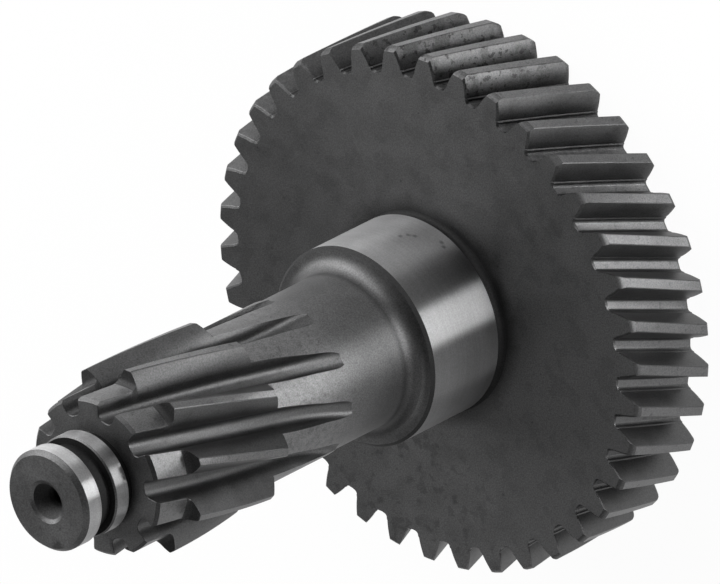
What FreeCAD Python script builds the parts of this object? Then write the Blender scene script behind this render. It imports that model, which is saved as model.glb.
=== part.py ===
import FreeCAD, Part
import math
import os

# Intermediate shaft of a small reduction gearbox, turned, hobbed and ground from one
# bar: a helical gear at one end, a helical pinion along the middle and two bearing seats.
# Millimetres. The origin is the centre of the gear's outer face, the axis is +Z, and the
# shaft stands on the gear face.

PRESSURE_ANGLE = 20.0       # normal pressure angle of both toothings, degrees
SIDE_CLEARANCE = 0.05       # backlash left on each tooth's thickness, square to the axis

# Helical gear.
GEAR_TEETH = 38
GEAR_MODULE = 1.25          # normal module
GEAR_HELIX = 20.5           # right-hand helix angle, degrees
GEAR_SHIFT = -0.10          # profile shift factor
GEAR_ADDENDUM = 1.10        # tip above the pitch circle
GEAR_DEDENDUM = 1.50        # root below the pitch circle
GEAR_ROOT_FILLET = 0.35
GEAR_WIDTH = 10.55
GEAR_TIP_BEVEL_R = 0.45     # tip bevels on both faces, measured radially
GEAR_TIP_BEVEL_Z = 0.60     # and along the axis
GEAR_PHASE = 1.43           # angle of one tooth space on the face beside the collar, degrees

# Grinding relief and collar, the seat of the larger bearing.
RELIEF_RADIUS = 9.60
RELIEF_WIDTH = 1.00
RELIEF_FILLET = 0.55        # runs up to the gear's face outside the collar's radius
COLLAR_RADIUS = 10.00
COLLAR_LENGTH = 9.25
COLLAR_BEVEL = 0.30
COLLAR_FOOT_FILLET = 1.50   # from the collar's face down to the neck

# Neck between collar and pinion; the tooth spaces run out into its front part.
NECK_RADIUS = 7.75
NECK_LENGTH = 9.00
RUNOUT_NECK_RADIUS = 7.90
RUNOUT_NECK_LENGTH = 9.75

# Helical pinion.
PINION_TEETH = 10
PINION_MODULE = 1.5         # normal module
PINION_HELIX = 13.0         # right-hand helix angle, degrees
PINION_SHIFT = 0.13         # profile shift factor
PINION_ADDENDUM = 1.70
PINION_DEDENDUM = 1.60
PINION_ROOT_FILLET = 0.70
PINION_STEP = 0.85          # axial length of the bevel from tip down to the neck
PINION_LENGTH = 11.85       # teeth of full height
TURNED_TIP_RADIUS = 7.80    # teeth turned down beside the front bearing
TURNED_TIP_LENGTH = 4.45
TURNED_TIP_FILLET = 0.65
TURNED_TIP_BEVEL_R = 0.30
TURNED_TIP_BEVEL_Z = 0.30
PINION_PHASE = 25.3         # angle of one tooth space on the pinion's front face, degrees
HOB_RADIUS = 25.0           # arc on which the tooth spaces rise out of the neck
RUNOUT_FLOOR = 0.03         # floor of a space above the thin neck where the two necks meet

# Front journal, the seat of the smaller bearing, with its ring groove.
JOURNAL_RADIUS = 5.00
JOURNAL_RELIEF_RADIUS = 4.50
JOURNAL_RELIEF_LENGTH = 0.90
INNER_LAND_LENGTH = 1.75
GROOVE_RADIUS = 4.20
GROOVE_WIDTH = 1.95
OUTER_LAND_LENGTH = 1.70
LAND_BEVEL = 0.15           # broken edge of the inner land beside the groove
END_BEVEL_R = 0.40
END_BEVEL_Z = 0.50

# Centre holes in both ends: outer bevel, 60 degree seat, drilled pilot.
CENTRE_OUTER_RADIUS = 2.15
CENTRE_SEAT_RADIUS = 1.78
CENTRE_PILOT_RADIUS = 0.80
CENTRE_PILOT_DEPTH = 1.30
CENTRE_SEAT_ANGLE = 30.0    # half angle of the seat, degrees
CENTRE_FLARE_ANGLE = 60.0   # half angle of the outer bevel and of the drill's point

# How the surfaces are drawn.
FIRST_ROLL = 0.20           # roll angle at which the involutes begin, radians
GEAR_FLANK_CURVES = 2
GEAR_FILLET_CURVES = 1      # one curve stands for a straight bevel in the fillet's place
GEAR_SECTIONS = 3           # outlines along a gear tooth
PINION_FLANK_CURVES = 3
PINION_FILLET_CURVES = 4
PINION_SECTIONS = 4         # outlines along a pinion tooth at full depth
RUNOUT_SECTIONS = 4         # and along its run-out
TURNED_FILLET_CURVES = 3
STRAIGHT = 1e-6             # directions that differ by less make a straight line
TIP_CLEARANCE = 0.10        # how far a cutting body stands above the tips
OVERRUN = 0.60              # and beyond a face

# Heights of the shoulders, added up from the gear face.
Z_GEAR = GEAR_WIDTH
Z_RELIEF = Z_GEAR + RELIEF_WIDTH
Z_COLLAR = Z_RELIEF + COLLAR_LENGTH
Z_NECK = Z_COLLAR + NECK_LENGTH
Z_RUNOUT_NECK = Z_NECK + RUNOUT_NECK_LENGTH
Z_STEP = Z_RUNOUT_NECK + PINION_STEP
Z_TEETH = Z_STEP + PINION_LENGTH
Z_PINION = Z_TEETH + TURNED_TIP_LENGTH
Z_JOURNAL_RELIEF = Z_PINION + JOURNAL_RELIEF_LENGTH
Z_INNER_LAND = Z_JOURNAL_RELIEF + INNER_LAND_LENGTH
Z_GROOVE = Z_INNER_LAND + GROOVE_WIDTH
Z_OUTER_LAND = Z_GROOVE + OUTER_LAND_LENGTH
Z_END = Z_OUTER_LAND + END_BEVEL_Z


def involute(angle):
    """Polar angle of an involute where its pressure angle is the given one."""
    return math.tan(angle) - angle


def polar(radius, angle):
    return FreeCAD.Vector(radius * math.cos(angle), radius * math.sin(angle), 0)


def parabola(start, stop):
    """Curve between two stops, each a point and the direction in which it is passed."""
    point, way = start
    end, end_way = stop
    gap = end - point
    cross = way.x * end_way.y - way.y * end_way.x
    if abs(cross) < STRAIGHT:
        return Part.LineSegment(point, end).toShape()
    meeting = point + way * ((gap.x * end_way.y - gap.y * end_way.x) / cross)
    curve = Part.BezierCurve()
    curve.setPoles([point, meeting, end])
    return curve.toShape()


def spread(low, high, pieces):
    return [low + (high - low) * k / float(pieces) for k in range(pieces + 1)]


def arc_stops(centre, radius, way_in, way_out, pieces):
    """Stops along an arc that turns from one direction to another, angles in radians."""
    side = math.copysign(math.pi / 2, way_in - way_out)
    stops = []
    for way in spread(way_in, way_out, pieces):
        stops.append((centre + polar(radius, way + side), polar(1, way)))
    return stops


def chain(stops):
    return [parabola(stops[k], stops[k + 1]) for k in range(len(stops) - 1)]


class Toothing:
    """A helical involute toothing, drawn in the plane square to the axis.

    Outlines are of the space between two teeth, lying along +X, and cover the half at +Y.
    """

    def __init__(self, teeth, module, helix, shift, addendum, dedendum, fillet, curves):
        normal = math.radians(PRESSURE_ANGLE)
        slant = math.radians(helix)
        module_t = module / math.cos(slant)
        pressure = math.atan(math.tan(normal) / math.cos(slant))
        thickness = module_t * (math.pi / 2 + 2 * shift * math.tan(normal)) - SIDE_CLEARANCE
        self.teeth = teeth
        self.fillet = fillet
        self.flank_curves, self.fillet_curves = curves
        self.pitch_radius = teeth * module_t / 2
        self.base_radius = self.pitch_radius * math.cos(pressure)
        self.tip_radius = self.pitch_radius + addendum
        self.root_radius = self.pitch_radius - dedendum
        self.twist = math.tan(slant) / self.pitch_radius
        tooth = thickness / (2 * self.pitch_radius) + involute(pressure)
        self.base_gap = math.pi / teeth - tooth

    def fillet_stops(self):
        """Root fillet, touching the root circle below and the flank's lowest tangent above."""
        reach = self.root_radius + self.fillet
        heading = self.base_gap + FIRST_ROLL
        lean = heading - math.asin((self.base_radius * FIRST_ROLL + self.fillet) / reach)
        centre = polar(reach, lean)
        return arc_stops(centre, self.fillet, lean + math.pi / 2, heading, self.fillet_curves)

    def flank_stops(self, top):
        """Involute from its first roll angle out to a radius."""
        last_roll = math.tan(math.acos(self.base_radius / top))
        stops = []
        for roll in spread(FIRST_ROLL, last_roll, self.flank_curves):
            radius = self.base_radius * math.sqrt(1 + roll * roll)
            angle = self.base_gap + roll - math.atan(roll)
            stops.append((polar(radius, angle), polar(1, self.base_gap + roll)))
        return stops

    def space(self):
        """Closed outline of one tooth space, from its root to just above the tips."""
        top = self.tip_radius + TIP_CLEARANCE
        low = self.fillet_stops()
        stops = self.flank_stops(top)
        if self.fillet_curves == 1:
            bevel = Part.LineSegment(low[0][0], stops[0][0]).toShape()
            half = [bevel] + chain(stops)
        else:
            half = chain(low + stops)
        other = [edge.mirror(FreeCAD.Vector(), FreeCAD.Vector(0, 1, 0)) for edge in half]
        foot = low[0][0]
        corner = stops[-1][0]
        peak = FreeCAD.Vector(corner.Length ** 2 / corner.x + TIP_CLEARANCE, 0, 0)
        foot_other = FreeCAD.Vector(foot.x, -foot.y, 0)
        corner_other = FreeCAD.Vector(corner.x, -corner.y, 0)
        closing = [
            Part.LineSegment(foot, foot_other).toShape(),
            Part.LineSegment(corner, peak).toShape(),
            Part.LineSegment(peak, corner_other).toShape(),
        ]
        return Part.Wire(Part.__sortEdges__(half + other + closing))

    def spaces(self, heights, z_phase, phase, rise):
        """Cutting bodies of all tooth spaces; rise(z) lifts the outline off the axis."""
        outline = self.space()
        sections = []
        for z in heights:
            section = outline.copy()
            section.translate(FreeCAD.Vector(rise(z), 0, z))
            turn = phase + math.degrees((z - z_phase) * self.twist)
            section.rotate(FreeCAD.Vector(), FreeCAD.Vector(0, 0, 1), turn)
            sections.append(section)
        body = Part.makeLoft(sections, True, False)
        bodies = []
        for k in range(self.teeth):
            next_body = body.copy()
            next_body.rotate(FreeCAD.Vector(), FreeCAD.Vector(0, 0, 1), k * 360.0 / self.teeth)
            bodies.append(next_body)
        return bodies


def turned(stations):
    """Solid of revolution from a chain of (radius, height) corners.

    A corner may carry a third number: the radius of the fillet that rounds it.
    """
    corners = [FreeCAD.Vector(station[0], station[1], 0) for station in stations]
    stops = []
    for k, station in enumerate(stations):
        corner = corners[k]
        before = (corners[k - 1] - corner).normalize()
        after = (corners[(k + 1) % len(corners)] - corner).normalize()
        if len(station) == 2:
            stops += [(corner, -before), (corner, after)]
            continue
        half = before.getAngle(after) / 2
        centre = corner + (before + after).normalize() * (station[2] / math.sin(half))
        turn = math.copysign(math.pi - 2 * half, -before.cross(after).z)
        way = math.atan2(-before.y, -before.x)
        stops += arc_stops(centre, station[2], way, way + turn, TURNED_FILLET_CURVES)
    stops.append(stops[0])
    edges = []
    for k in range(len(stops) - 1):
        if stops[k][0].distanceToPoint(stops[k + 1][0]) > STRAIGHT:
            edges.append(parabola(stops[k], stops[k + 1]))
    solid = Part.Face(Part.Wire(edges)).revolve(FreeCAD.Vector(), FreeCAD.Vector(0, 1, 0), 360)
    solid.rotate(FreeCAD.Vector(), FreeCAD.Vector(1, 0, 0), 90)
    return solid


def blank(gear, pinion):
    """The shaft as turned, before the teeth are cut."""
    bevelled = gear.tip_radius - GEAR_TIP_BEVEL_R
    return turned([
        (0, 0),
        (bevelled, 0),
        (gear.tip_radius, GEAR_TIP_BEVEL_Z),
        (gear.tip_radius, Z_GEAR - GEAR_TIP_BEVEL_Z),
        (bevelled, Z_GEAR),
        (RELIEF_RADIUS, Z_GEAR, RELIEF_FILLET),
        (RELIEF_RADIUS, Z_RELIEF),
        (COLLAR_RADIUS, Z_RELIEF),
        (COLLAR_RADIUS, Z_COLLAR - COLLAR_BEVEL),
        (COLLAR_RADIUS - COLLAR_BEVEL, Z_COLLAR),
        (NECK_RADIUS, Z_COLLAR, COLLAR_FOOT_FILLET),
        (NECK_RADIUS, Z_NECK),
        (RUNOUT_NECK_RADIUS, Z_NECK),
        (RUNOUT_NECK_RADIUS, Z_RUNOUT_NECK),
        (pinion.tip_radius, Z_STEP),
        (pinion.tip_radius, Z_TEETH),
        (TURNED_TIP_RADIUS, Z_TEETH, TURNED_TIP_FILLET),
        (TURNED_TIP_RADIUS, Z_PINION - TURNED_TIP_BEVEL_Z),
        (TURNED_TIP_RADIUS - TURNED_TIP_BEVEL_R, Z_PINION),
        (JOURNAL_RELIEF_RADIUS, Z_PINION),
        (JOURNAL_RELIEF_RADIUS, Z_JOURNAL_RELIEF),
        (JOURNAL_RADIUS, Z_JOURNAL_RELIEF),
        (JOURNAL_RADIUS, Z_INNER_LAND - LAND_BEVEL),
        (JOURNAL_RADIUS - LAND_BEVEL, Z_INNER_LAND),
        (GROOVE_RADIUS, Z_INNER_LAND),
        (GROOVE_RADIUS, Z_GROOVE),
        (JOURNAL_RADIUS, Z_GROOVE),
        (JOURNAL_RADIUS, Z_OUTER_LAND),
        (JOURNAL_RADIUS - END_BEVEL_R, Z_END),
        (0, Z_END),
    ])


def centre_hole():
    """Centre hole opening downward at z = 0, its bottom above."""
    seat = math.tan(math.radians(CENTRE_SEAT_ANGLE))
    flare = math.tan(math.radians(CENTRE_FLARE_ANGLE))
    z_seat = (CENTRE_OUTER_RADIUS - CENTRE_SEAT_RADIUS) / flare
    z_pilot = z_seat + (CENTRE_SEAT_RADIUS - CENTRE_PILOT_RADIUS) / seat
    z_point = z_pilot + CENTRE_PILOT_DEPTH
    return turned([
        (0, -OVERRUN),
        (CENTRE_OUTER_RADIUS + OVERRUN * flare, -OVERRUN),
        (CENTRE_SEAT_RADIUS, z_seat),
        (CENTRE_PILOT_RADIUS, z_pilot),
        (CENTRE_PILOT_RADIUS, z_point),
        (0, z_point + CENTRE_PILOT_RADIUS / flare),
    ])


gear = Toothing(
    GEAR_TEETH, GEAR_MODULE, GEAR_HELIX, GEAR_SHIFT,
    GEAR_ADDENDUM, GEAR_DEDENDUM, GEAR_ROOT_FILLET,
    (GEAR_FLANK_CURVES, GEAR_FILLET_CURVES),
)
pinion = Toothing(
    PINION_TEETH, PINION_MODULE, PINION_HELIX, PINION_SHIFT,
    PINION_ADDENDUM, PINION_DEDENDUM, PINION_ROOT_FILLET,
    (PINION_FLANK_CURVES, PINION_FILLET_CURVES),
)

# The hob leaves full depth where its arc lifts the floor to the thin neck's surface.
climb = NECK_RADIUS + RUNOUT_FLOOR - pinion.root_radius
z_full_depth = Z_NECK + math.sqrt(HOB_RADIUS ** 2 - (HOB_RADIUS - climb) ** 2)
clear = RUNOUT_NECK_RADIUS + RUNOUT_FLOOR - pinion.root_radius
z_hob_out = z_full_depth - math.sqrt(HOB_RADIUS ** 2 - (HOB_RADIUS - clear) ** 2)


def hob_rise(z):
    """Lift of a tooth space's floor where the hob runs out into the neck."""
    return HOB_RADIUS - math.sqrt(HOB_RADIUS ** 2 - max(0.0, z_full_depth - z) ** 2)


def no_rise(z):
    return 0.0


solid = blank(gear, pinion)
gear_heights = spread(-OVERRUN, Z_GEAR + OVERRUN, GEAR_SECTIONS - 1)
pinion_heights = spread(z_hob_out, z_full_depth, RUNOUT_SECTIONS - 1)
pinion_heights += spread(z_full_depth, Z_PINION + OVERRUN, PINION_SECTIONS - 1)[1:]
solid = solid.cut(gear.spaces(gear_heights, Z_GEAR, GEAR_PHASE, no_rise))
solid = solid.cut(pinion.spaces(pinion_heights, Z_PINION, PINION_PHASE, hob_rise))

hole = centre_hole()
solid = solid.cut(hole)
hole.rotate(FreeCAD.Vector(), FreeCAD.Vector(1, 0, 0), 180)
hole.translate(FreeCAD.Vector(0, 0, Z_END))
solid = solid.cut(hole)

os.makedirs("parts", exist_ok=True)
shaft = solid.Solids[0]
shaft.exportStep("parts/intermediate_shaft.step")
print("solids", len(solid.Solids), "valid", shaft.isValid(), "faces", len(shaft.Faces))
print("volume", shaft.Volume, "box", shaft.BoundBox)
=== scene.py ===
import math

import bmesh
import bpy
from mathutils import Matrix, Vector


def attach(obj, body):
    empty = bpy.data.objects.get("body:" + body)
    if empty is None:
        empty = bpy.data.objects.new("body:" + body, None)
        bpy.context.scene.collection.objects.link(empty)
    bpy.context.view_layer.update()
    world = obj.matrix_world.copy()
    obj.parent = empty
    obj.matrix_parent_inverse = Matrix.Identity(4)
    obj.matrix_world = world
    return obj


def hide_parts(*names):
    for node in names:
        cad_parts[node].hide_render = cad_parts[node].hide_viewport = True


# Sizes of the shaft are in millimetres and become metres when its mesh is made. The origin
# is the centre of the gear's outer face and the axis is +Z.
MM = 0.001

# Helical gear.
GEAR_TEETH = 38
GEAR_MODULE = 1.25          # normal module
GEAR_HELIX = 20.5           # right-hand helix angle, degrees
GEAR_SHIFT = -0.10          # profile shift factor
GEAR_ADDENDUM = 1.10        # tip above the pitch circle
GEAR_DEDENDUM = 1.50        # root below the pitch circle
GEAR_ROOT_FILLET = 0.35
GEAR_WIDTH = 10.55
GEAR_TIP_BEVEL_R = 0.45
GEAR_TIP_BEVEL_Z = 0.60
GEAR_PHASE = math.radians(1.43)     # angle of one tooth space on the inner face

# Relief, collar and necks.
RELIEF_RADIUS = 9.60
RELIEF_FILLET = 0.55
RELIEF_WIDTH = 1.00
COLLAR_RADIUS = 10.00
COLLAR_LENGTH = 9.25
COLLAR_BEVEL = 0.30
COLLAR_FOOT_FILLET = 1.50
NECK_RADIUS = 7.75
NECK_LENGTH = 9.00
RUNOUT_NECK_RADIUS = 7.90
RUNOUT_NECK_LENGTH = 9.75

# Helical pinion, with its teeth turned down beside the journal.
PINION_TEETH = 10
PINION_MODULE = 1.5         # normal module
PINION_HELIX = 13.0         # right-hand helix angle, degrees
PINION_SHIFT = 0.13         # profile shift factor
PINION_ADDENDUM = 1.70
PINION_DEDENDUM = 1.60
PINION_ROOT_FILLET = 0.70
PINION_STEP = 0.85          # axial length of the bevel from the tips down to the neck
PINION_LENGTH = 11.85       # teeth of full height
TURNED_TIP_RADIUS = 7.80
TURNED_TIP_LENGTH = 4.45
TURNED_TIP_FILLET = 0.65
TURNED_TIP_BEVEL = 0.30
PINION_PHASE = math.radians(25.3)   # angle of one tooth space on the face by the journal
HOB_RADIUS = 25.0           # arc on which the tooth spaces rise out of the neck
RUNOUT_FLOOR = 0.03         # floor of a space above the thin neck where the necks meet

# Journal, with its ring groove.
JOURNAL_RADIUS = 5.00
JOURNAL_RELIEF_RADIUS = 4.50
JOURNAL_RELIEF_LENGTH = 0.90
INNER_LAND_LENGTH = 1.75
LAND_BEVEL = 0.15           # broken edge of the inner land beside the groove
GROOVE_RADIUS = 4.20
GROOVE_WIDTH = 1.95
OUTER_LAND_LENGTH = 1.70
END_BEVEL_R = 0.40
END_BEVEL_Z = 0.50

# Centre holes, the same in both ends.
CENTRE_OUTER_RADIUS = 2.15
CENTRE_SEAT_RADIUS = 1.78
CENTRE_PILOT_RADIUS = 0.80
CENTRE_SEAT_DEPTH = 0.21
CENTRE_PILOT_DEPTH = 1.91
CENTRE_DEPTH = 3.21
CENTRE_POINT_DEPTH = 3.66
CENTRE_POINT_RADIUS = 0.002

# Radii of the gear: pitch circle, tips, and floors of the tooth spaces.
GEAR_PITCH = GEAR_TEETH * GEAR_MODULE / math.cos(math.radians(GEAR_HELIX)) / 2
GEAR_RIM = GEAR_PITCH + GEAR_ADDENDUM
GEAR_ROOT = GEAR_PITCH - GEAR_DEDENDUM

# Heights of the shoulders, added up from the gear's outer face.
RELIEF_TOP = GEAR_WIDTH + RELIEF_WIDTH
COLLAR_TOP = RELIEF_TOP + COLLAR_LENGTH
NECK_TOP = COLLAR_TOP + NECK_LENGTH
RUNOUT_NECK_TOP = NECK_TOP + RUNOUT_NECK_LENGTH
STEP_TOP = RUNOUT_NECK_TOP + PINION_STEP
TEETH_TOP = STEP_TOP + PINION_LENGTH
PINION_TOP = TEETH_TOP + TURNED_TIP_LENGTH
JOURNAL_RELIEF_TOP = PINION_TOP + JOURNAL_RELIEF_LENGTH
INNER_LAND_TOP = JOURNAL_RELIEF_TOP + INNER_LAND_LENGTH
GROOVE_TOP = INNER_LAND_TOP + GROOVE_WIDTH
OUTER_LAND_TOP = GROOVE_TOP + OUTER_LAND_LENGTH
END_TOP = OUTER_LAND_TOP + END_BEVEL_Z

# Mesh.
PRESSURE_ANGLE = 20.0
SIDE_CLEARANCE = 0.05       # by how much each tooth is thinner than its nominal size
EDGE = 0.06                 # broken edge along the corners of the teeth
FACE_EDGE = 0.14            # wider one round the tooth spaces on the gear's inner face
ROW = 0.57                  # spacing of the rows along the teeth
NECK_ROW = 2.0              # and along the plain neck
OVERSHOOT = 1.0             # how far an outline goes on beyond the tips, to be cut down
GEAR_FACE_RIM = 0.5         # from the tooth spaces in to the first circle of the gear's faces
PINION_FACE_RIM = 0.3       # and of the pinion's face
FILLET_COLUMNS = 6
GEAR_FLANK_RADII = (24.3, 24.7, 25.1, 25.5, 25.8)
PINION_LOW_RADII = (7.05, 7.35, 7.62)       # columns on the pinion's flanks: near the root,
PINION_FOOT_RADII = (8.10, 8.27)            # beside the fillet of the turned-down tips,
PINION_HIGH_RADII = (8.80, 9.10)            # and near the full tips
FILLET_ROW_RADII = (7.84, 7.96)             # further rows round that fillet
GEAR_BEVEL_STATIONS = (0.0, 0.47, 0.73, 1 - EDGE / GEAR_TIP_BEVEL_R, 1.0)
GEAR_BEVEL_ROUNDING = 1.6   # 1 is a straight bevel, more is a rounder one
SHARP_EDGE = math.radians(21)
TINY = 1e-6                 # tolerance of comparisons
SAME_POINT = 1e-7           # distance in metres below which two points are one

# Finishes: their slots on the piece, in the order in which the materials are made below,
# and how the direction and the radius of a face tell its kind. Margins are in millimetres.
FACED, TURNED, GROUND, CUT, LAND, PAINTED_SHADE = range(6)
LEVEL = 0.9                 # least upward part of the normal on a flat face
RISING = 0.2                # and on a fillet that faces up
ROUND = 0.99                # least outward part of the normal on a turned surface
ROUNDISH = 0.97             # and on one that is stepped
MARGIN = 0.05               # between a gear tooth's lands and its flanks
SEAT_MARGIN = 0.1           # between a ground seat and its bevels
NECK_MARGIN = 0.2           # between the run-out neck and its tooth spaces

# Materials. Noise is given in features per metre.
GRAIN = 7000                # fine grain of every finish
CLOUD = 400                 # soft changes of shade and roughness
RAGGED = 2000               # uneven borders of the spots
RING_MARKS = 5000           # across the grinding marks
RING_CHANGE = 60            # and along them
NOISE_SPAN = 0.3, 0.7       # noise values in use
FINE_DETAIL = 3.0           # octaves of the finer noise
ROUGHNESS_CHANGE = 0.07
PIT_BORDER = 0.05           # noise values from a pit's border to its full depth
ROOT_REACH = 0.4            # height in mm of the painted shade in the gear's tooth spaces
BUMP_STRENGTH = 0.15
BUMP_HEIGHT = 0.01          # millimetres
QUARTER_TURN = 0.25
TINT = (1.0, 1.0, 1.01)     # of all steel: hardly bluish

# Places of marks that the photo shows: stains on the pinion's face and on the end, specks
# on the collar by height and heading in degrees, and the middle of the gear's upper teeth.
END_STAINS = ((-0.96, 6.77, PINION_TOP), (0.42, -6.86, PINION_TOP), (0.07, -4.55, END_TOP))
COLLAR_SPECKS = ((14.6, 26), (15.3, 24), (14.2, 29), (12.7, 41), (12.9, 44))
UPPER_TEETH = (4, 25, 5)

# Lamps: name, heading, rise, distance in metres, width, height and radiance. Angles and
# sizes are in degrees as seen from the origin; the heading goes from +Y towards +X.
LAMPS = (
    ("right_near", 87, 6, 0.09, 34, 10, 25),
    ("right_far", 135, 7, 0.4, 45, 13, 1.7),
    ("left_near", -48, 4.5, 0.09, 48, 9, 1.1),
    ("left_high", -50, 32, 0.4, 50, 26, 6.0),
    ("back_high", 0, 32, 0.4, 50, 26, 4.1),
    ("back_low", 0, 7, 0.4, 48, 13, 0.9),
    ("top_left", -72, 63, 0.4, 60, 30, 0.4),
    ("top_front", 190, 55, 0.4, 60, 40, 0.8),
)

# Background.
BACKGROUND_SHARE = 0.96     # share of plain white in it; the rest takes the shaft's shadow
FLOOR_GAP = 0.02 * MM       # between the gear's outer face and the floor
FLOOR_REACH = 1.0           # metres from the axis to the floor's edges
FLOOR_WHITE = (0.9, 0.9, 0.9, 1)
WORLD_GREY = 0.05           # the world's light on the shaft

# Camera, nearly parallel. It looks down the shaft from beyond its end, turned aside and
# then tipped.
TURN = 44.79                # degrees
TIP = -19.46                # degrees
AIM = Vector((-0.00247, 0.00377, 0.0159))   # metres
DISTANCE = 1.88             # metres
LENS = 1000.0               # millimetres
SENSOR = 36.0               # millimetres
CLIP_END = 20.0             # metres


def involute(angle):
    return math.tan(angle) - angle


def polar(x, y):
    return math.hypot(x, y), math.atan2(y, x)


class Toothing:
    """Half a tooth space as columns, each a radius and an angle from the space's middle."""

    def __init__(self, teeth, module, helix, shift, addendum, dedendum, fillet, lands, radii):
        normal, slant = math.radians(PRESSURE_ANGLE), math.radians(helix)
        module_t = module / math.cos(slant)
        pressure = math.atan(math.tan(normal) / math.cos(slant))
        thickness = module_t * (math.pi / 2 + 2 * shift * math.tan(normal)) - SIDE_CLEARANCE
        pitch_radius = teeth * module_t / 2
        self.teeth = teeth
        self.half = math.pi / teeth
        self.base = pitch_radius * math.cos(pressure)
        self.tip = pitch_radius + addendum
        self.root = pitch_radius - dedendum
        self.twist = math.tan(slant) / pitch_radius
        self.base_gap = self.half - thickness / (2 * pitch_radius) - involute(pressure)
        self.columns, self.ways = self.root_columns(fillet)
        # Each land's corner lies between two columns, which leaves its edge broken.
        flank = [radius for radius in radii if radius > self.columns[-1][0]]
        for land in [*lands, self.tip]:
            flank.append(land - EDGE)
            flank.append(self.radius_at(self.flank_angle(land) + EDGE / land))
        for radius in sorted(flank):
            self.columns.append((radius, self.flank_angle(radius)))
        beside = self.columns[-1][1]
        for angle in ((beside + self.half) / 2, self.half):
            self.columns.append((self.tip + OVERSHOOT, angle))

    def flank_angle(self, radius):
        if radius <= self.base:
            return self.base_gap
        return self.base_gap + involute(math.acos(self.base / radius))

    def radius_at(self, angle):
        """Radius at which the flank has reached an angle."""
        low, high = self.base, self.tip + OVERSHOOT
        while high - low > TINY:
            middle = (low + high) / 2
            if self.flank_angle(middle) < angle:
                low = middle
            else:
                high = middle
        return low

    def root_columns(self, fillet):
        """Root and root fillet, with the directions that point out of the space there."""
        reach = self.root + fillet
        lean = self.base_gap - math.asin(fillet / reach)
        x, y = reach * math.cos(lean), reach * math.sin(lean)
        columns, ways = [(self.root, 0.0)], [math.pi]
        for k in range(FILLET_COLUMNS + 1):
            way = lean + math.pi - (math.pi / 2 - self.base_gap + lean) * k / FILLET_COLUMNS
            columns.append(polar(x + fillet * math.cos(way), y + fillet * math.sin(way)))
            ways.append(way)
        return columns, ways

    def widened(self, margin):
        """Columns of a space that is wider by a margin all along its outline."""
        columns = []
        for k, (radius, angle) in enumerate(self.columns):
            if k < len(self.ways):
                x = radius * math.cos(angle) + margin * math.cos(self.ways[k])
                y = radius * math.sin(angle) + margin * math.sin(self.ways[k])
                columns.append(polar(x, y))
            else:
                columns.append((radius, min(angle + margin / self.base, self.half)))
        return columns

    def at(self, place):
        """Column at a fractional place between the whole ones."""
        k = min(int(place), len(self.columns) - 2)
        low, high = self.columns[k], self.columns[k + 1]
        share = place - k
        radius = low[0] + (high[0] - low[0]) * share
        if k >= len(self.ways) - 1:
            return radius, self.flank_angle(radius)
        return radius, low[1] + (high[1] - low[1]) * share


class Grid:
    """Skin of rows round the axis; every row has the same columns, by tooth space."""

    def __init__(self, toothing, phase, z_phase):
        self.toothing = toothing
        self.phase = phase
        self.z_phase = z_phase
        self.points = []
        self.corners = []

    def row(self, z, before, after=None, turn_z=None):
        """Row from the (radius, angle) columns before and after a space's middle."""
        turn = self.phase + ((z if turn_z is None else turn_z) - self.z_phase) * self.toothing.twist
        blank = before[-1][0]
        ring, marks = [], []
        for tooth in range(self.toothing.teeth):
            middle = turn + 2 * self.toothing.half * tooth
            for side, half_row in ((-1, before[1:][::-1]), (1, (after or before)[:-1])):
                for k, (radius, angle) in enumerate(half_row):
                    a = middle + side * angle
                    ring.append((radius * math.cos(a), radius * math.sin(a), z))
                    beside = half_row[k - side] if 0 <= k - side < len(half_row) else (0, 0)
                    marks.append(radius > blank - TINY and beside[0] < blank - TINY)
        self.points.append(ring)
        self.corners.append(marks)

    def clipped(self, z, blank, margins=(0.0, 0.0)):
        """Row of the toothed outline, cut down to the blank's radius."""
        halves = []
        for margin in margins:
            columns = self.toothing.widened(margin) if margin else self.toothing.columns
            halves.append([(min(radius, blank), angle) for radius, angle in columns])
        self.row(z, *halves)

    def lifted(self, z, blank, rise, corner):
        """Row where the hob has lifted the outline off the axis; corner counts columns."""
        def lift(place):
            radius, angle = self.toothing.at(place)
            return polar(radius * math.cos(angle) + rise, radius * math.sin(angle))

        low, high = 0.0, float(corner)
        while high - low > TINY:
            middle = (low + high) / 2
            if lift(middle)[0] < blank:
                low = middle
            else:
                high = middle
        edge, start = lift(low)[1], self.toothing.columns[corner][1]
        half_row = []
        for k, (_, angle) in enumerate(self.toothing.columns):
            if k < corner:
                half_row.append(lift(low * k / corner))
            else:
                share = (angle - start) / (self.toothing.half - start)
                half_row.append((blank, edge + (self.toothing.half - edge) * share))
        self.row(z, half_row)

    def circle(self, z, radius, turn_z):
        self.row(z, [(radius, angle) for _, angle in self.toothing.columns], turn_z=turn_z)

    def mesh(self, name):
        """Mesh in metres. A quad crossed by a corner line is cut along that line."""
        width = len(self.points[0])
        vertices = [tuple(c * MM for c in point) for ring in self.points for point in ring]
        faces = []
        for i in range(len(self.points) - 1):
            low, high = self.corners[i], self.corners[i + 1]
            for k in range(width):
                n = (k + 1) % width
                a, b = i * width + k, i * width + n
                c, d = b + width, a + width
                if low[k] and high[n]:
                    faces += [(a, b, c), (a, c, d)]
                elif low[n] and high[k]:
                    faces += [(a, b, d), (b, c, d)]
                else:
                    faces.append((a, b, c, d))
        mesh = bpy.data.meshes.new(name)
        mesh.from_pydata(vertices, [], faces)
        return mesh


def arc(centre_r, centre_z, radius, start, stop, count):
    """Points (radius, z) on an arc, angles in degrees from the outward direction."""
    points = []
    for k in range(count + 1):
        angle = math.radians(start + (stop - start) * k / count)
        points.append((centre_r + radius * math.cos(angle), centre_z + radius * math.sin(angle)))
    return points


def stations(low, high, spacing):
    count = max(1, math.ceil((high - low) / spacing))
    return [low + (high - low) * k / count for k in range(count + 1)]


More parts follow.
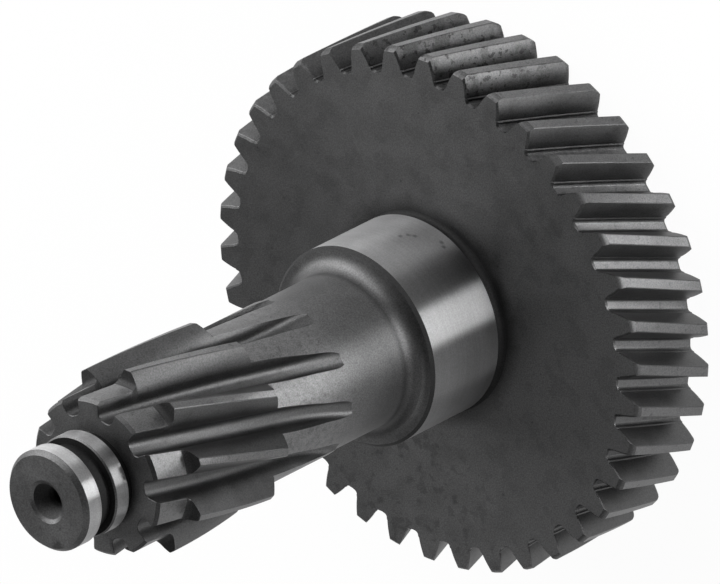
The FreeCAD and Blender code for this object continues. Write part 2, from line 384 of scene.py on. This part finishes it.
def centre_hole():
    """Stations (radius, depth) of a centre hole, from its rim to its point."""
    return [
        (CENTRE_OUTER_RADIUS, 0.0),
        (CENTRE_SEAT_RADIUS, CENTRE_SEAT_DEPTH),
        (CENTRE_PILOT_RADIUS, CENTRE_PILOT_DEPTH),
        (CENTRE_PILOT_RADIUS, CENTRE_DEPTH),
        (CENTRE_POINT_RADIUS, CENTRE_POINT_DEPTH),
    ]


def gear_grid():
    """Outer face with its centre hole, teeth, and inner face as far as the relief."""
    bevel = []
    for share in GEAR_BEVEL_STATIONS:
        depth = GEAR_TIP_BEVEL_Z * share ** GEAR_BEVEL_ROUNDING
        bevel.append((depth, GEAR_RIM - GEAR_TIP_BEVEL_R * (1 - share)))
    radii = [*GEAR_FLANK_RADII, *(radius for _, radius in bevel[:-2])]
    gear = Toothing(GEAR_TEETH, GEAR_MODULE, GEAR_HELIX, GEAR_SHIFT, GEAR_ADDENDUM,
                    GEAR_DEDENDUM, GEAR_ROOT_FILLET, lands=[], radii=radii)
    grid = Grid(gear, GEAR_PHASE, GEAR_WIDTH)
    for radius, depth in centre_hole()[::-1]:
        grid.circle(depth, radius, 0.0)
    grid.circle(0.0, gear.root - GEAR_FACE_RIM, 0.0)
    grid.clipped(0.0, bevel[0][1], margins=(EDGE, EDGE))
    for z, radius in bevel[1:]:
        grid.clipped(z, radius)
    for z in stations(GEAR_TIP_BEVEL_Z, GEAR_WIDTH - GEAR_TIP_BEVEL_Z, ROW)[1:-1]:
        grid.clipped(z, gear.tip)
    for depth, radius in bevel[:0:-1]:
        grid.clipped(GEAR_WIDTH - depth, radius)
    grid.clipped(GEAR_WIDTH, bevel[0][1], margins=(FACE_EDGE / 2, FACE_EDGE))
    grid.circle(GEAR_WIDTH, gear.root - GEAR_FACE_RIM, GEAR_WIDTH)
    grid.circle(GEAR_WIDTH, RELIEF_RADIUS + RELIEF_FILLET, GEAR_WIDTH)
    return grid


def hob_rise(z, z_full):
    return HOB_RADIUS - math.sqrt(HOB_RADIUS ** 2 - max(0.0, z_full - z) ** 2)


def shaft_grid():
    """Everything from the gear's inner face to the journal's end."""
    tip_rim = TURNED_TIP_RADIUS - TURNED_TIP_BEVEL
    foot = TURNED_TIP_RADIUS + TURNED_TIP_FILLET
    foot_radii = [*PINION_FOOT_RADII, foot]
    step_radii = [*foot_radii, *PINION_HIGH_RADII]
    radii = [*PINION_LOW_RADII, tip_rim, RUNOUT_NECK_RADIUS, *step_radii]
    pinion = Toothing(PINION_TEETH, PINION_MODULE, PINION_HELIX, PINION_SHIFT,
                      PINION_ADDENDUM, PINION_DEDENDUM, PINION_ROOT_FILLET,
                      lands=[TURNED_TIP_RADIUS], radii=radii)
    grid = Grid(pinion, PINION_PHASE, PINION_TOP)
    climb = NECK_RADIUS + RUNOUT_FLOOR - pinion.root
    z_full = NECK_TOP + math.sqrt(HOB_RADIUS ** 2 - (HOB_RADIUS - climb) ** 2)
    corner = [radius for radius, _ in pinion.columns].index(RUNOUT_NECK_RADIUS)

    centre = RELIEF_RADIUS + RELIEF_FILLET, GEAR_WIDTH + RELIEF_FILLET
    turned = arc(*centre, RELIEF_FILLET, 270, 180, count=6)
    turned += [
        (RELIEF_RADIUS, RELIEF_TOP),
        (COLLAR_RADIUS - EDGE, RELIEF_TOP),
        (COLLAR_RADIUS, RELIEF_TOP + EDGE),
        (COLLAR_RADIUS, COLLAR_TOP - COLLAR_BEVEL),
        (COLLAR_RADIUS - COLLAR_BEVEL, COLLAR_TOP),
    ]
    centre = NECK_RADIUS + COLLAR_FOOT_FILLET, COLLAR_TOP + COLLAR_FOOT_FILLET
    turned += arc(*centre, COLLAR_FOOT_FILLET, 270, 180, count=12)
    turned += [(NECK_RADIUS, z) for z in stations(centre[1], NECK_TOP, NECK_ROW)[1:]]
    for radius, z in turned:
        grid.circle(z, radius, NECK_TOP)

    for z in stations(NECK_TOP, z_full, ROW):
        grid.lifted(z, RUNOUT_NECK_RADIUS, hob_rise(z, z_full), corner)
    for z in stations(z_full, RUNOUT_NECK_TOP, ROW)[1:]:
        grid.clipped(z, RUNOUT_NECK_RADIUS)
    slope = PINION_STEP / (pinion.tip - RUNOUT_NECK_RADIUS)
    for radius in step_radii + [pinion.tip - EDGE]:
        grid.clipped(RUNOUT_NECK_TOP + (radius - RUNOUT_NECK_RADIUS) * slope, radius)
    for z in stations(STEP_TOP + EDGE, TEETH_TOP - EDGE, ROW):
        grid.clipped(z, pinion.tip)

    grid.clipped(TEETH_TOP, pinion.tip - EDGE)
    fillet_radii = [TURNED_TIP_RADIUS, RUNOUT_NECK_RADIUS, *FILLET_ROW_RADII, *foot_radii]
    for radius in sorted(fillet_radii, reverse=True):
        rise = math.sqrt(TURNED_TIP_FILLET ** 2 - (foot - radius) ** 2)
        grid.clipped(TEETH_TOP + TURNED_TIP_FILLET - rise, radius)
    tip_top = PINION_TOP - TURNED_TIP_BEVEL
    for z in stations(TEETH_TOP + TURNED_TIP_FILLET, tip_top, ROW)[1:]:
        grid.clipped(z, TURNED_TIP_RADIUS)
    grid.clipped(tip_top + EDGE, TURNED_TIP_RADIUS - EDGE)
    grid.clipped(PINION_TOP - EDGE, tip_rim + EDGE)
    grid.clipped(PINION_TOP, tip_rim, margins=(EDGE, EDGE))

    journal = [
        (pinion.root - PINION_FACE_RIM, PINION_TOP),
        (JOURNAL_RELIEF_RADIUS, PINION_TOP),
        (JOURNAL_RELIEF_RADIUS, JOURNAL_RELIEF_TOP),
        (JOURNAL_RADIUS - EDGE, JOURNAL_RELIEF_TOP),
        (JOURNAL_RADIUS, JOURNAL_RELIEF_TOP + EDGE),
        (JOURNAL_RADIUS, INNER_LAND_TOP - LAND_BEVEL),
        (JOURNAL_RADIUS - LAND_BEVEL, INNER_LAND_TOP),
        (GROOVE_RADIUS, INNER_LAND_TOP),
        (GROOVE_RADIUS, GROOVE_TOP),
        (JOURNAL_RADIUS - EDGE, GROOVE_TOP),
        (JOURNAL_RADIUS, GROOVE_TOP + EDGE),
        (JOURNAL_RADIUS, OUTER_LAND_TOP),
        (JOURNAL_RADIUS - END_BEVEL_R + EDGE, END_TOP - EDGE),
        (JOURNAL_RADIUS - END_BEVEL_R, END_TOP),
    ]
    journal += [(radius, END_TOP - depth) for radius, depth in centre_hole()]
    for radius, z in journal:
        grid.circle(z, radius, PINION_TOP)
    return grid


def finish_of(face):
    """Finish of a face of the skin, from its place and the way it faces."""
    x, y, z = (c / MM for c in face.calc_center_median())
    radius = math.hypot(x, y)
    outward = (x * face.normal.x + y * face.normal.y) / radius
    # Painted shade: the centre holes, the relief, the collar's top bevel, the journal's relief and
    # groove and the fillet of the turned-down tips take the dark finish.
    if radius < CENTRE_SEAT_RADIUS or GEAR_WIDTH < z < RELIEF_TOP + EDGE:
        return PAINTED_SHADE
    if COLLAR_TOP - COLLAR_BEVEL < z < COLLAR_TOP and radius > COLLAR_RADIUS - COLLAR_BEVEL:
        return PAINTED_SHADE
    if z > PINION_TOP and radius < JOURNAL_RADIUS - LAND_BEVEL and z < GROOVE_TOP + EDGE:
        return PAINTED_SHADE
    if TEETH_TOP - TINY < z < TEETH_TOP + TURNED_TIP_FILLET and face.normal.z > RISING:
        return PAINTED_SHADE
    if abs(face.normal.z) > LEVEL:
        return FACED
    if z < GEAR_WIDTH and radius > COLLAR_RADIUS:
        on_tip = outward > ROUND and radius > GEAR_RIM - MARGIN
        on_floor = outward > ROUNDISH and radius < GEAR_ROOT + MARGIN
        return LAND if on_tip or on_floor else CUT
    if NECK_TOP < z < PINION_TOP:
        if outward < ROUNDISH or radius < RUNOUT_NECK_RADIUS - NECK_MARGIN:
            return CUT
        return LAND if z > STEP_TOP else TURNED
    on_collar = RELIEF_TOP < z < COLLAR_TOP and radius > COLLAR_RADIUS - SEAT_MARGIN
    on_journal = z > JOURNAL_RELIEF_TOP and radius > JOURNAL_RADIUS - SEAT_MARGIN
    return GROUND if outward > ROUND and (on_collar or on_journal) else TURNED


def skin(name, meshes, materials):
    """One object from several meshes, without doubled points, smooth but for real edges."""
    merged = bmesh.new()
    for mesh in meshes:
        merged.from_mesh(mesh)
    bmesh.ops.remove_doubles(merged, verts=merged.verts, dist=SAME_POINT)
    bmesh.ops.dissolve_degenerate(merged, edges=merged.edges, dist=SAME_POINT)
    merged.normal_update()
    for face in merged.faces:
        face.material_index = finish_of(face)
    mesh = bpy.data.meshes.new(name)
    merged.to_mesh(mesh)
    merged.free()
    for material in materials:
        mesh.materials.append(material)
    mesh.shade_smooth()
    mesh.set_sharp_from_angle(angle=SHARP_EDGE)
    shape = bpy.data.objects.new(name, mesh)
    bpy.context.collection.objects.link(shape)
    return shape


class Steel:
    """A metal finish in the making: the layers change its shade and its roughness."""

    def __init__(self, name, tone, roughness, anisotropy, grain=0.24):
        """Plain finish; the grain makes the tone vary by its share both ways."""
        self.material = bpy.data.materials.new(name)
        self.material.use_nodes = True
        self.tree = self.material.node_tree
        self.shader = self.tree.nodes["Principled BSDF"]
        self.shader.inputs["Metallic"].default_value = 1.0
        self.shader.inputs["Anisotropic"].default_value = anisotropy
        # Tool marks run round the axis, and highlights spread across them.
        self.shader.inputs["Anisotropic Rotation"].default_value = QUARTER_TURN
        tangent = self.add("ShaderNodeTangent", direction_type="RADIAL", axis="Z")
        self.feed("Tangent", tangent.outputs["Tangent"])
        self.place = self.add("ShaderNodeTexCoord").outputs["Object"]
        self.grain = self.noise(GRAIN)
        self.cloud = self.noise(CLOUD, detail=4.0)
        self.shade = self.varied(self.grain, grain, middle=tone)
        self.rough = self.varied(self.cloud, ROUGHNESS_CHANGE, middle=roughness)

    def add(self, kind, inputs=(), **settings):
        node = self.tree.nodes.new(kind)
        for setting, value in settings.items():
            setattr(node, setting, value)
        for socket, value in dict(inputs).items():
            if isinstance(value, bpy.types.NodeSocket):
                self.tree.links.new(value, node.inputs[socket])
            else:
                node.inputs[socket].default_value = value
        return node

    def feed(self, socket, value):
        self.tree.links.new(value, self.shader.inputs[socket])

    def noise(self, across, along=None, detail=2.0):
        """Noise with this many features per metre across the axis and along it."""
        scale = {0: self.place, 1: (across, across, along or across)}
        vector = self.add("ShaderNodeVectorMath", scale, operation="MULTIPLY").outputs[0]
        settings = {"Vector": vector, "Scale": 1.0, "Detail": detail}
        return self.add("ShaderNodeTexNoise", settings).outputs["Fac"]

    def ranged(self, value, low, high, new_low, new_high):
        settings = {0: value, 1: low, 2: high, 3: new_low, 4: new_high}
        return self.add("ShaderNodeMapRange", settings).outputs[0]

    def varied(self, noise, amount, middle=1.0):
        """The middle value, more or less by the amount's share as the noise says."""
        return self.ranged(noise, *NOISE_SPAN, middle * (1 - amount), middle * (1 + amount))

    def product(self, first, second):
        return self.add("ShaderNodeMath", {0: first, 1: second}, operation="MULTIPLY").outputs[0]

    def between(self, low, high, blend=0.5):
        """1 between two heights (mm) on the part, 0 outside, with a soft change."""
        z = self.add("ShaderNodeSeparateXYZ", {0: self.place}).outputs["Z"]
        above = self.ranged(z, (low - blend) * MM, (low + blend) * MM, 0.0, 1.0)
        below = self.ranged(z, (high - blend) * MM, (high + blend) * MM, 1.0, 0.0)
        return self.product(above, below)

    def spot(self, centre, reach, core=0.5, ragged=0.30):
        """1 within the core's share of the reach (mm) from the centre, 0 beyond the reach."""
        middle = Vector(centre) * MM
        apart = self.add("ShaderNodeVectorMath", {0: self.place, 1: middle}, operation="DISTANCE")
        uneven = self.varied(self.noise(RAGGED, detail=FINE_DETAIL), ragged)
        gap = self.product(apart.outputs["Value"], uneven)
        return self.ranged(gap, reach * core * MM, reach * MM, 1.0, 0.0)

    def within(self, radius, blend=0.2):
        """1 inside a radius (mm) round the axis, 0 outside, with a soft change."""
        flat = {0: self.place, 1: (1, 1, 0)}
        across = self.add("ShaderNodeVectorMath", flat, operation="MULTIPLY").outputs[0]
        length = self.add("ShaderNodeVectorMath", {0: across}, operation="LENGTH").outputs["Value"]
        return self.ranged(length, (radius - blend) * MM, (radius + blend) * MM, 1.0, 0.0)

    def gear_roots(self):
        """1 on the floors and root fillets of the gear's tooth spaces."""
        return self.product(self.within(GEAR_ROOT + ROOT_REACH), self.between(0, GEAR_WIDTH))

    def tinted(self, weight, factor):
        """Shade times the factor where the weight is 1."""
        self.shade = self.product(self.shade, self.ranged(weight, 0.0, 1.0, 1.0, factor))

    def mottled(self, amount):
        self.shade = self.product(self.shade, self.varied(self.cloud, amount))

    def lined(self, amount):
        """Fine grinding marks round the axis."""
        rings = self.noise(RING_CHANGE, along=RING_MARKS)
        self.shade = self.product(self.shade, self.varied(rings, amount))

    def pitted(self, factor, where=None, scale=900, cover=0.62):
        """Shade times the factor in spots; more cover leaves fewer of them."""
        noise = self.noise(scale, detail=FINE_DETAIL)
        pits = self.ranged(noise, cover, cover + PIT_BORDER, 0.0, 1.0)
        self.tinted(self.product(pits, where) if where else pits, factor)

    def done(self):
        colour = {0: TINT, "Scale": self.shade}
        self.feed("Base Color", self.add("ShaderNodeVectorMath", colour, operation="SCALE").outputs[0])
        self.feed("Roughness", self.rough)
        bump = {"Height": self.grain, "Strength": BUMP_STRENGTH, "Distance": BUMP_HEIGHT * MM}
        self.feed("Normal", self.add("ShaderNodeBump", bump).outputs["Normal"])
        return self.material


def faced_steel():
    """Flat faces: fine grain, faint smudges and specks, stains on the ends."""
    steel = Steel("faced_steel", tone=0.122, roughness=0.50, anisotropy=0.3)
    steel.mottled(0.05)
    steel.pitted(0.90, scale=450, cover=0.55)
    steel.pitted(0.65, scale=1500, cover=0.71)
    steel.pitted(0.80, where=steel.spot((-8, -19, GEAR_WIDTH), 12), scale=900, cover=0.57)
    for place in END_STAINS:
        steel.tinted(steel.spot(place, 0.9), 0.50)
    # Painted shadow round the collar's foot, on the gear's face and in the relief.
    foot = steel.product(steel.within(11.0, blend=0.9), steel.between(GEAR_WIDTH - 1, RELIEF_TOP))
    steel.tinted(foot, 0.55)
    # Darker at the gear's upper left; painted light on the end, and painted fill light beside the
    # journal where the face lies in its shade.
    steel.tinted(steel.spot((-10, 16, GEAR_WIDTH), 22, core=0.2, ragged=0.05), 0.84)
    steel.tinted(steel.between(END_TOP - 1, END_TOP + 1), 1.06)
    steel.tinted(steel.spot((5.8, -0.8, PINION_TOP), 4.0, core=0.3, ragged=0.1), 1.70)
    return steel.done()


def turned_steel():
    """Necks and shoulders: satin, painted shade in the foot fillet, worn lighter at the run-outs."""
    steel = Steel("turned_steel", tone=0.12, roughness=0.50, anisotropy=0.5)
    steel.mottled(0.06)
    # Painted shade in the fillet at the neck's foot, most of it at the lower right; it dims the
    # fillet's highlight.
    steel.tinted(steel.between(COLLAR_TOP + 1.0, COLLAR_TOP + 1.7, blend=0.3), 0.62)
    steel.tinted(steel.spot((6.3, -5.3, COLLAR_TOP), 7.0, core=0.5, ragged=0.1), 0.72)
    # Rubbed lighter along the run-outs of the teeth.
    worn = steel.between(NECK_TOP, PINION_TOP, blend=3.0)
    steel.tinted(worn, 1.30)
    steel.pitted(1.12, where=worn, scale=1500, cover=0.50)
    steel.pitted(0.80, where=worn, scale=1300, cover=0.60)
    return steel.done()


def ground_steel():
    """Bearing seats: bright, finely ground round the axis, with a few specks of rust."""
    steel = Steel("ground_steel", tone=0.25, roughness=0.40, anisotropy=1.0, grain=0.12)
    steel.lined(0.05)
    steel.mottled(0.04)
    # Painted shade towards the gear and painted light on the outer land; darker at the inner land's
    # left.
    steel.tinted(steel.between(0.0, RELIEF_TOP + 4, blend=3.5), 0.76)
    steel.tinted(steel.between(GROOVE_TOP, END_TOP + 1), 1.50)
    steel.tinted(steel.spot((-0.9, 4.9, JOURNAL_RELIEF_TOP + 1), 3.4, ragged=0.1), 0.74)
    for height, heading in COLLAR_SPECKS:
        angle = math.radians(heading)
        place = COLLAR_RADIUS * math.sin(angle), COLLAR_RADIUS * math.cos(angle), height
        steel.tinted(steel.spot(place, 0.30, core=0.3), 0.50)
    return steel.done()


def cut_steel():
    """Tooth flanks and spaces: dull, with rust pits on the teeth at the gear's top."""
    steel = Steel("cut_steel", tone=0.085, roughness=0.50, anisotropy=0.0)
    steel.mottled(0.10)
    steel.pitted(0.80, scale=1200, cover=0.64)
    # Painted light at the gear's left; painted shade on the broken edges of its inner face there and
    # at its top, which dims their highlights.
    painted_light_left = steel.spot((-24, 8, 6), 22)
    steel.tinted(painted_light_left, 1.45)
    edge = steel.between(GEAR_WIDTH - FACE_EDGE, GEAR_WIDTH, blend=0.02)
    steel.tinted(steel.product(painted_light_left, edge), 0.45)
    steel.tinted(steel.product(steel.spot((8, 24, 8), 16), edge), 0.85)
    # Painted shade in the roots, and lighter, rusty flanks at its top.
    steel.tinted(steel.product(steel.gear_roots(), steel.spot(UPPER_TEETH, 24)), 0.45)
    steel.tinted(steel.spot((7, 25, 5), 12, core=0.45, ragged=0.1), 1.28)
    rusty = steel.spot((8, 25, 8), 12)
    steel.pitted(0.70, where=rusty, scale=500, cover=0.52)
    steel.pitted(0.45, where=rusty, scale=1700, cover=0.58)
    return steel.done()


def land_steel():
    """Tips of the teeth and floors of the gear's spaces: rubbed bright."""
    steel = Steel("land_steel", tone=0.148, roughness=0.42, anisotropy=0.8)
    steel.mottled(0.10)
    steel.pitted(0.75, scale=1500, cover=0.62)
    # The turned-down tips are darker, the tips at the top of gear and pinion lighter.
    steel.tinted(steel.between(TEETH_TOP, PINION_TOP + 1), 0.90)
    steel.tinted(steel.spot((3, 26, 5), 12, core=0.4, ragged=0.1), 1.22)
    steel.tinted(steel.spot((2.4, 9.1, 48), 9, ragged=0.1), 1.20)
    # Painted shade on the floors at the gear's top.
    steel.tinted(steel.product(steel.gear_roots(), steel.spot(UPPER_TEETH, 22)), 0.45)
    return steel.done()


def painted_shade_steel():
    """Centre holes, groove, reliefs and bevels: a dark tone of painted shade."""
    steel = Steel("painted_shade_steel", tone=0.05, roughness=0.72, anisotropy=0.0)
    steel.mottled(0.15)
    # Darkest in the reliefs and the groove, lighter on the tips' fillet and in the hole.
    steel.tinted(steel.between(GEAR_WIDTH, RELIEF_TOP, blend=0.05), 0.70)
    steel.tinted(steel.between(TEETH_TOP, TEETH_TOP + TURNED_TIP_FILLET, blend=0.05), 1.5)
    steel.tinted(steel.between(PINION_TOP, GROOVE_TOP, blend=0.05), 0.60)
    steel.tinted(steel.between(OUTER_LAND_TOP - 1, END_TOP, blend=0.1), 1.60)
    return steel.done()


def panel(name, heading, rise, distance, width, height, radiance):
    """Soft light that faces the origin."""
    data = bpy.data.lights.new(name, "AREA")
    data.shape = "RECTANGLE"
    data.size = 2 * distance * math.tan(math.radians(width / 2))
    data.size_y = 2 * distance * math.tan(math.radians(height / 2))
    data.energy = radiance * math.pi * data.size * data.size_y
    lamp = bpy.data.objects.new(name, data)
    angle, lift = math.radians(heading), math.radians(rise)
    flat = distance * math.cos(lift)
    lamp.location = flat * math.sin(angle), flat * math.cos(angle), distance * math.sin(lift)
    lamp.rotation_euler = (-lamp.location).to_track_quat("-Z", "Y").to_euler()
    bpy.context.collection.objects.link(lamp)


def white_floor():
    """Matt white ground that the camera and the metal see as the white background.

    It lies just below the gear's outer face, and from below it can be seen through.
    """
    mesh = bpy.data.meshes.new("floor")
    near, far = -FLOOR_REACH, FLOOR_REACH
    corners = [(near, near, 0), (far, near, 0), (far, far, 0), (near, far, 0)]
    mesh.from_pydata(corners, [], [(0, 1, 2, 3)])
    floor = bpy.data.objects.new("floor", mesh)
    floor.location.z = -FLOOR_GAP
    bpy.context.collection.objects.link(floor)
    material = bpy.data.materials.new("floor_white")
    material.use_nodes = True
    nodes, links = material.node_tree.nodes, material.node_tree.links
    nodes.clear()

    def maths(operation, first, second):
        node = nodes.new("ShaderNodeMath")
        node.operation = operation
        links.new(first, node.inputs[0])
        if isinstance(second, float):
            node.inputs[1].default_value = second
        else:
            links.new(second, node.inputs[1])
        return node.outputs[0]

    plain = nodes.new("ShaderNodeBsdfDiffuse")
    plain.inputs["Color"].default_value = FLOOR_WHITE
    white = nodes.new("ShaderNodeEmission")
    ray = nodes.new("ShaderNodeLightPath").outputs
    mirrored = maths("MAXIMUM", ray["Is Glossy Ray"], ray["Is Transmission Ray"])
    seen = maths("MAXIMUM", ray["Is Camera Ray"], mirrored)
    mix = nodes.new("ShaderNodeMixShader")
    links.new(maths("MULTIPLY", seen, BACKGROUND_SHARE), mix.inputs["Fac"])
    links.new(plain.outputs[0], mix.inputs[1])
    links.new(white.outputs[0], mix.inputs[2])
    one_sided = nodes.new("ShaderNodeMixShader")
    links.new(nodes.new("ShaderNodeNewGeometry").outputs["Backfacing"], one_sided.inputs["Fac"])
    links.new(mix.outputs[0], one_sided.inputs[1])
    links.new(nodes.new("ShaderNodeBsdfTransparent").outputs[0], one_sided.inputs[2])
    links.new(one_sided.outputs[0], nodes.new("ShaderNodeOutputMaterial").inputs["Surface"])
    mesh.materials.append(material)
    return floor


def pale_world():
    """World that lights the object faintly and that the camera sees as white."""
    world = bpy.data.worlds.new("world")
    world.use_nodes = True
    nodes, links = world.node_tree.nodes, world.node_tree.links
    light = nodes["Background"].inputs
    light["Color"].default_value = (1, 1, 1, 1)
    seen = nodes.new("ShaderNodeMath")
    seen.operation = "MAXIMUM"
    seen.inputs[1].default_value = WORLD_GREY
    links.new(nodes.new("ShaderNodeLightPath").outputs["Is Camera Ray"], seen.inputs[0])
    links.new(seen.outputs[0], light["Strength"])
    return world


def photo_camera():
    """Camera at the photo's viewing angle."""
    data = bpy.data.cameras.new("camera")
    data.sensor_width = SENSOR
    data.lens = LENS
    data.clip_end = CLIP_END
    camera = bpy.data.objects.new("camera", data)
    tipped = Matrix.Rotation(math.radians(TIP), 4, "X")
    aside = Matrix.Rotation(math.radians(TURN), 4, "Y")
    turned = tipped @ aside
    camera.matrix_world = Matrix.Translation(AIM + turned @ Vector((0, 0, DISTANCE))) @ turned
    bpy.context.collection.objects.link(camera)
    return camera


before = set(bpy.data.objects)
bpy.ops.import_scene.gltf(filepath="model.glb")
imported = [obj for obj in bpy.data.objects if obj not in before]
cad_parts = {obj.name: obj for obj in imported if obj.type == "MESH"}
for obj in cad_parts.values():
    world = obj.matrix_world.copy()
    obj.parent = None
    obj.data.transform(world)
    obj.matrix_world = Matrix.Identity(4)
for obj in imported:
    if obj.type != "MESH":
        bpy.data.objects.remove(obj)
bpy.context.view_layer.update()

finishes = [faced_steel(), turned_steel(), ground_steel(), cut_steel(), land_steel(), painted_shade_steel()]
shaft = skin("shaft_skin", [gear_grid().mesh("gear"), shaft_grid().mesh("shaft")], finishes)
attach(shaft, "root")
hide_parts("intermediate_shaft")
white_floor()

for lamp in LAMPS:
    panel(*lamp)
scene = bpy.context.scene
scene.camera = photo_camera()
scene.world = pale_world()
scene.view_settings.view_transform = "Standard"
